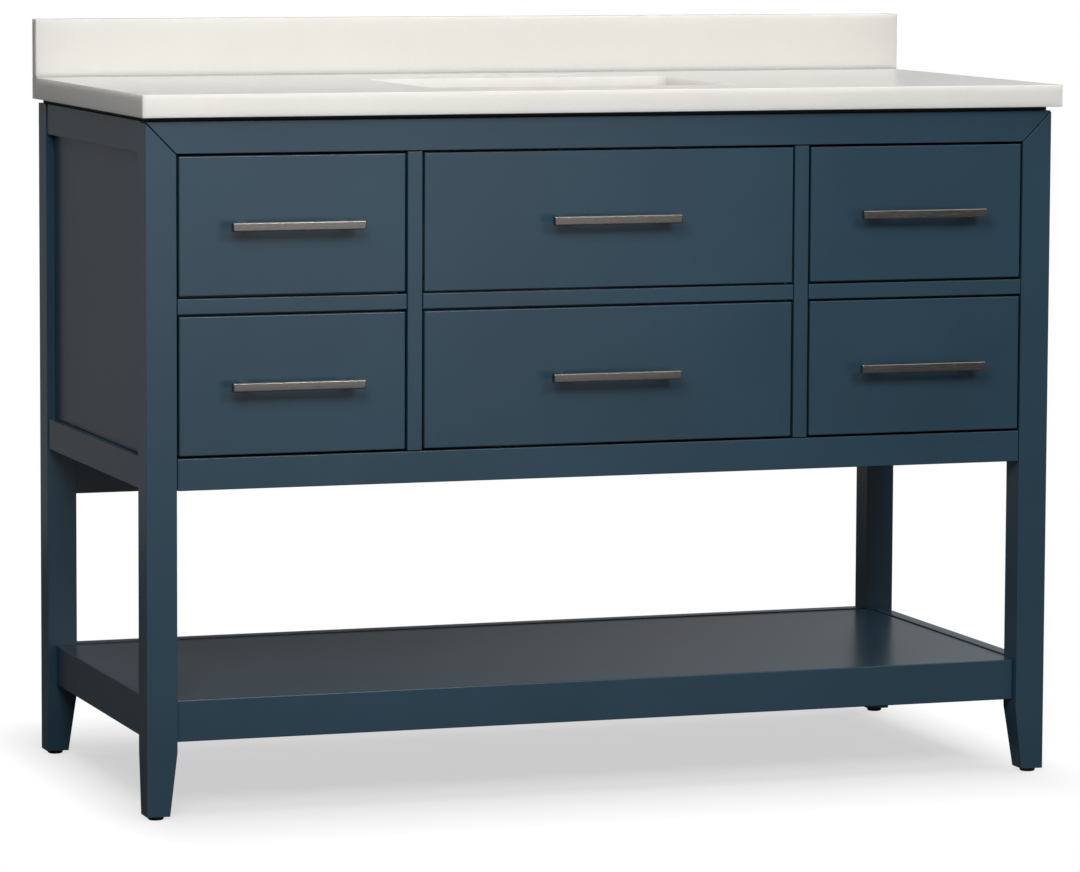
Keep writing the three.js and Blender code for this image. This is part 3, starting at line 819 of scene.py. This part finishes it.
def corner_braces():
    """Triangular blocks glued and screwed into the four top corners, which the stone top rests over."""
    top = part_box("front_top_rail")[1].z - BRACE["drop"]
    size = BRACE["leg"]
    bm = bmesh.new()
    heads = []
    for hand, side in SIDES:
        for place, end in (("front", -1), ("rear", 1)):
            leg_low, leg_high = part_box(f"leg_{place}_{hand}")
            x = (leg_low.x if side > 0 else leg_high.x) - side * BRACE["gap"]
            y = (leg_low.y if end > 0 else leg_high.y) - end * BRACE["gap"]
            plan = [(x, y), (x - side * size, y), (x, y - end * size)]
            prism(bm, plan, "z", top - BRACE["thick"], top)
            for along_x, along_y in BRACE["screws"]:
                at = (x - side * size * along_x, y - end * size * along_y, top - BRACE["thick"])
                heads.append((at, (0, 0, -1)))
    finish_piece(bm, "corner_braces", "cabinet", [WOOD_X], 0.5 * MM)
    screws("corner_brace_screws", "cabinet", heads)


STOP = {"above": 1.7 * MM, "below": 12.0 * MM, "thick": 12 * MM, "gap": 0.3 * MM, "end": 3 * MM}


def rail_stops():
    """A strip behind each middle rail, which stops the fronts below flush and closes the reveals to light."""
    bm = bmesh.new()
    for bay in ("left", "center", "right"):
        low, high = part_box(f"mid_rail_{bay}")
        y = high.y + STOP["gap"]
        board(bm, (low.x + STOP["end"], high.x - STOP["end"]), (y, y + STOP["thick"]),
              (low.z - STOP["below"], high.z + STOP["above"]))
    finish_piece(bm, "rail_stops", "cabinet", [MATERIALS["navy_paint"]], 0.4 * MM)


CLEAT = {"size": 14 * MM, "gap": 0.3 * MM, "inset": 40 * MM, "screws": 5}


def shelf_cleats():
    """Two square cleats behind the aprons, which carry the shelf board."""
    low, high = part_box("shelf_board")
    size, inset = CLEAT["size"], CLEAT["inset"]
    top = low.z - CLEAT["gap"]
    pitch = (high.x - low.x - inset * 4) / (CLEAT["screws"] - 1)
    bm = bmesh.new()
    heads = []
    for y in ((low.y, low.y + size), (high.y - size, high.y)):
        board(bm, (low.x + inset, high.x - inset), y, (top - size, top))
        for i in range(CLEAT["screws"]):
            heads.append(((low.x + inset * 2 + pitch * i, sum(y) / 2, top - size), (0, 0, -1)))
    finish_piece(bm, "shelf_cleats", "cabinet", [MATERIALS["navy_paint"]], 0.4 * MM)
    screws("shelf_cleat_screws", "cabinet", heads)


BACK_SCREWS = {"side": 16 * MM, "bottom": 12 * MM, "top": 18 * MM, "in_row": 9, "rise": 110 * MM}


def back_screws():
    """Screws round the edge of the back panel and up the dividers."""
    low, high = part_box("back_panel")
    left, right = low.x + BACK_SCREWS["side"], high.x - BACK_SCREWS["side"]
    rows = (low.z + BACK_SCREWS["bottom"], high.z - BACK_SCREWS["top"])
    steps = BACK_SCREWS["in_row"] - 1
    places = [(left + (right - left) * i / steps, z) for z in rows for i in range(steps + 1)]
    columns = [low.z + BACK_SCREWS["rise"] * i for i in (1, 2, 3)]
    for node in ("divider_left", "divider_right"):
        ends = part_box(node)
        places += [((ends[0].x + ends[1].x) / 2, z) for z in columns]
    places += [(x, z) for x in (left, right) for z in columns]
    screws("back_panel_screws", "cabinet", [((x, high.y, z), (0, 1, 0)) for x, z in places])


# ---------- stage ----------
CAMERA = {"place": (-2.24208, -6.39095, 1.17075), "turn": -18.533, "tilt": -5.617, "roll": 0.187,
          "lens": 174.168, "shift": (0.06481, -0.05185)}


def camera():
    data = bpy.data.cameras.new("camera")
    data.sensor_width = 36
    data.lens = CAMERA["lens"]
    data.shift_x, data.shift_y = CAMERA["shift"]
    data.clip_end = 60
    data.clip_start = 0.1
    turn, tilt, roll = (math.radians(CAMERA[key]) for key in ("turn", "tilt", "roll"))
    eye = bpy.data.objects.new("camera", data)
    bpy.context.scene.collection.objects.link(eye)
    level = Matrix.Rotation(turn, 4, "Z") @ Matrix.Rotation(math.pi / 2 + tilt, 4, "X")
    eye.matrix_world = Matrix.Translation(CAMERA["place"]) @ level @ Matrix.Rotation(roll, 4, "Z")
    bpy.context.scene.camera = eye


# name, place, target, size, watts
SOFTBOXES = (
    ("key", (0.5, -3.3, 2.15), (0, 0, 0.6), (0.9, 0.7), 41),
    ("card", (0.4, -3.3, 0.7), (0.1, 0, 0.6), (1.5, 1.1), 4.0),
    ("overhead", (1.3, -0.2, 3.2), (0.4, 0, 0), (3.4, 3.0), 64),
    ("fill", (-1.3, -2.5, 2.0), (-0.2, 0, 0.5), (1.2, 1.2), 56),
)


def softbox(name, place, target, size, watts):
    data = bpy.data.lights.new(name, "AREA")
    data.shape = "RECTANGLE"
    data.size, data.size_y = size
    data.energy = watts
    lamp = bpy.data.objects.new(name, data)
    bpy.context.scene.collection.objects.link(lamp)
    lamp.location = place
    lamp.rotation_mode = "QUATERNION"
    lamp.rotation_quaternion = (Vector(target) - Vector(place)).to_track_quat("-Z", "Y")


# A direction, the range of its dot product, and the strength of the light at the two ends of that range.
WORLD = {
    "rear": {"along": (0, 1, 0), "range": (-0.3, 0.7), "level": (0.03, 0.14)},
    "right": {"along": (0.85, 0.527, 0), "range": (0.745, 0.878), "level": (0.0, 0.45)},
    "left": {"along": (-0.96, 0.29, 0), "range": (0.2, 0.6), "level": (0.0, 0.07)},
    "front": {"along": (0.3, -0.95, 0), "range": (0.8, 1.0), "level": (0.0, 0.10)},
}


def studio_world():
    """White to the camera. What lights the object is dim, and brightest at the back right."""
    world = bpy.data.worlds.new("studio")
    bpy.context.scene.world = world
    world.use_nodes = True
    tree = world.node_tree
    tree.nodes.clear()
    coordinates = tree.nodes.new("ShaderNodeTexCoord")
    levels = []
    for part in WORLD.values():
        dot = tree.nodes.new("ShaderNodeVectorMath")
        dot.operation = "DOT_PRODUCT"
        dot.inputs[1].default_value = part["along"]
        tree.links.new(coordinates.outputs["Generated"], dot.inputs[0])
        levels.append(between(tree, dot.outputs["Value"], *part["level"], *part["range"]))
    total = levels[0]
    for level in levels[1:]:
        add = tree.nodes.new("ShaderNodeMath")
        tree.links.new(total, add.inputs[0])
        tree.links.new(level, add.inputs[1])
        total = add.outputs["Value"]
    seen = tree.nodes.new("ShaderNodeBackground")
    seen.inputs["Color"].default_value = (1, 1, 1, 1)
    around = tree.nodes.new("ShaderNodeBackground")
    around.inputs["Color"].default_value = (0.98, 0.99, 1.0, 1)
    tree.links.new(total, around.inputs["Strength"])
    path = tree.nodes.new("ShaderNodeLightPath")
    mix = tree.nodes.new("ShaderNodeMixShader")
    tree.links.new(path.outputs["Is Camera Ray"], mix.inputs["Fac"])
    tree.links.new(around.outputs["Background"], mix.inputs[1])
    tree.links.new(seen.outputs["Background"], mix.inputs[2])
    output = tree.nodes.new("ShaderNodeOutputWorld")
    tree.links.new(mix.outputs["Shader"], output.inputs["Surface"])


FLOOR = {"shaded": (0.25, 0.25, 0.25), "lift": 0.59, "bounce": (0.14, 0.14, 0.14), "radius": 2.6,
         "middle": 0.05, "half": (0.555, 0.25, 0), "fade": (0.105, 0.24, 1)}


def floor():
    """A wide pale floor. The camera sees it lit and lifted, and fading to plain white away from the object.

    Every other ray sees a darker floor, which throws less light up.
    """
    bm = bmesh.new()
    bmesh.ops.create_circle(bm, cap_ends=True, segments=96, radius=FLOOR["radius"])
    mesh = bpy.data.meshes.new("floor")
    bm.to_mesh(mesh)
    bm.free()
    tree, shader, material = start("pale_floor", FLOOR["shaded"], 0.9, Specular_IOR_Level=0.1)
    output = tree.nodes["Material Output"]
    glow = tree.nodes.new("ShaderNodeEmission")
    glow.inputs["Strength"].default_value = FLOOR["lift"]
    seen = tree.nodes.new("ShaderNodeAddShader")
    tree.links.new(shader.outputs["BSDF"], seen.inputs[0])
    tree.links.new(glow.outputs["Emission"], seen.inputs[1])
    bounce = tree.nodes.new("ShaderNodeBsdfDiffuse")
    bounce.inputs["Color"].default_value = (*FLOOR["bounce"], 1)
    path = tree.nodes.new("ShaderNodeLightPath")
    near = tree.nodes.new("ShaderNodeMixShader")
    tree.links.new(path.outputs["Is Camera Ray"], near.inputs["Fac"])
    tree.links.new(bounce.outputs["BSDF"], near.inputs[1])
    tree.links.new(seen.outputs["Shader"], near.inputs[2])
    mapping = tree.nodes.new("ShaderNodeMapping")
    mapping.inputs["Location"].default_value = (0, -FLOOR["middle"], 0)
    coordinates = tree.nodes.new("ShaderNodeTexCoord")
    tree.links.new(coordinates.outputs["Object"], mapping.inputs["Vector"])
    past = mapping.outputs["Vector"]
    for operation, value in (("ABSOLUTE", None), ("SUBTRACT", FLOOR["half"]), ("MAXIMUM", (0, 0, 0)),
                             ("DIVIDE", FLOOR["fade"]), ("LENGTH", None)):
        step = tree.nodes.new("ShaderNodeVectorMath")
        step.operation = operation
        tree.links.new(past, step.inputs[0])
        if value:
            step.inputs[1].default_value = value
        past = step.outputs["Value" if operation == "LENGTH" else "Vector"]
    fade = between(tree, past, 0.0, 1.0, 0.0, 1.0)
    far = tree.nodes.new("ShaderNodeMath")
    far.operation = "MULTIPLY"
    tree.links.new(fade, far.inputs[0])
    tree.links.new(path.outputs["Is Camera Ray"], far.inputs[1])
    white = tree.nodes.new("ShaderNodeEmission")
    ends = tree.nodes.new("ShaderNodeMixShader")
    tree.links.new(far.outputs["Value"], ends.inputs["Fac"])
    tree.links.new(near.outputs["Shader"], ends.inputs[1])
    tree.links.new(white.outputs["Emission"], ends.inputs[2])
    tree.links.new(ends.outputs["Shader"], output.inputs["Surface"])
    mesh.materials.append(material)
    ground = bpy.data.objects.new("floor", mesh)
    bpy.context.scene.collection.objects.link(ground)


def studio():
    bpy.context.scene.view_settings.view_transform = "Standard"
    camera()
    studio_world()
    floor()
    for lamp in SOFTBOXES:
        softbox(*lamp)


# ---------- the whole object ----------
dress_cad_nodes()
for drawer_name in DRAWERS:
    drawer(drawer_name)
tipout_tray()
basin_bowl()
basin_overflow()
basin_clips()
sealant_bead()
corner_braces()
rail_stops()
shelf_cleats()
back_screws()
studio()
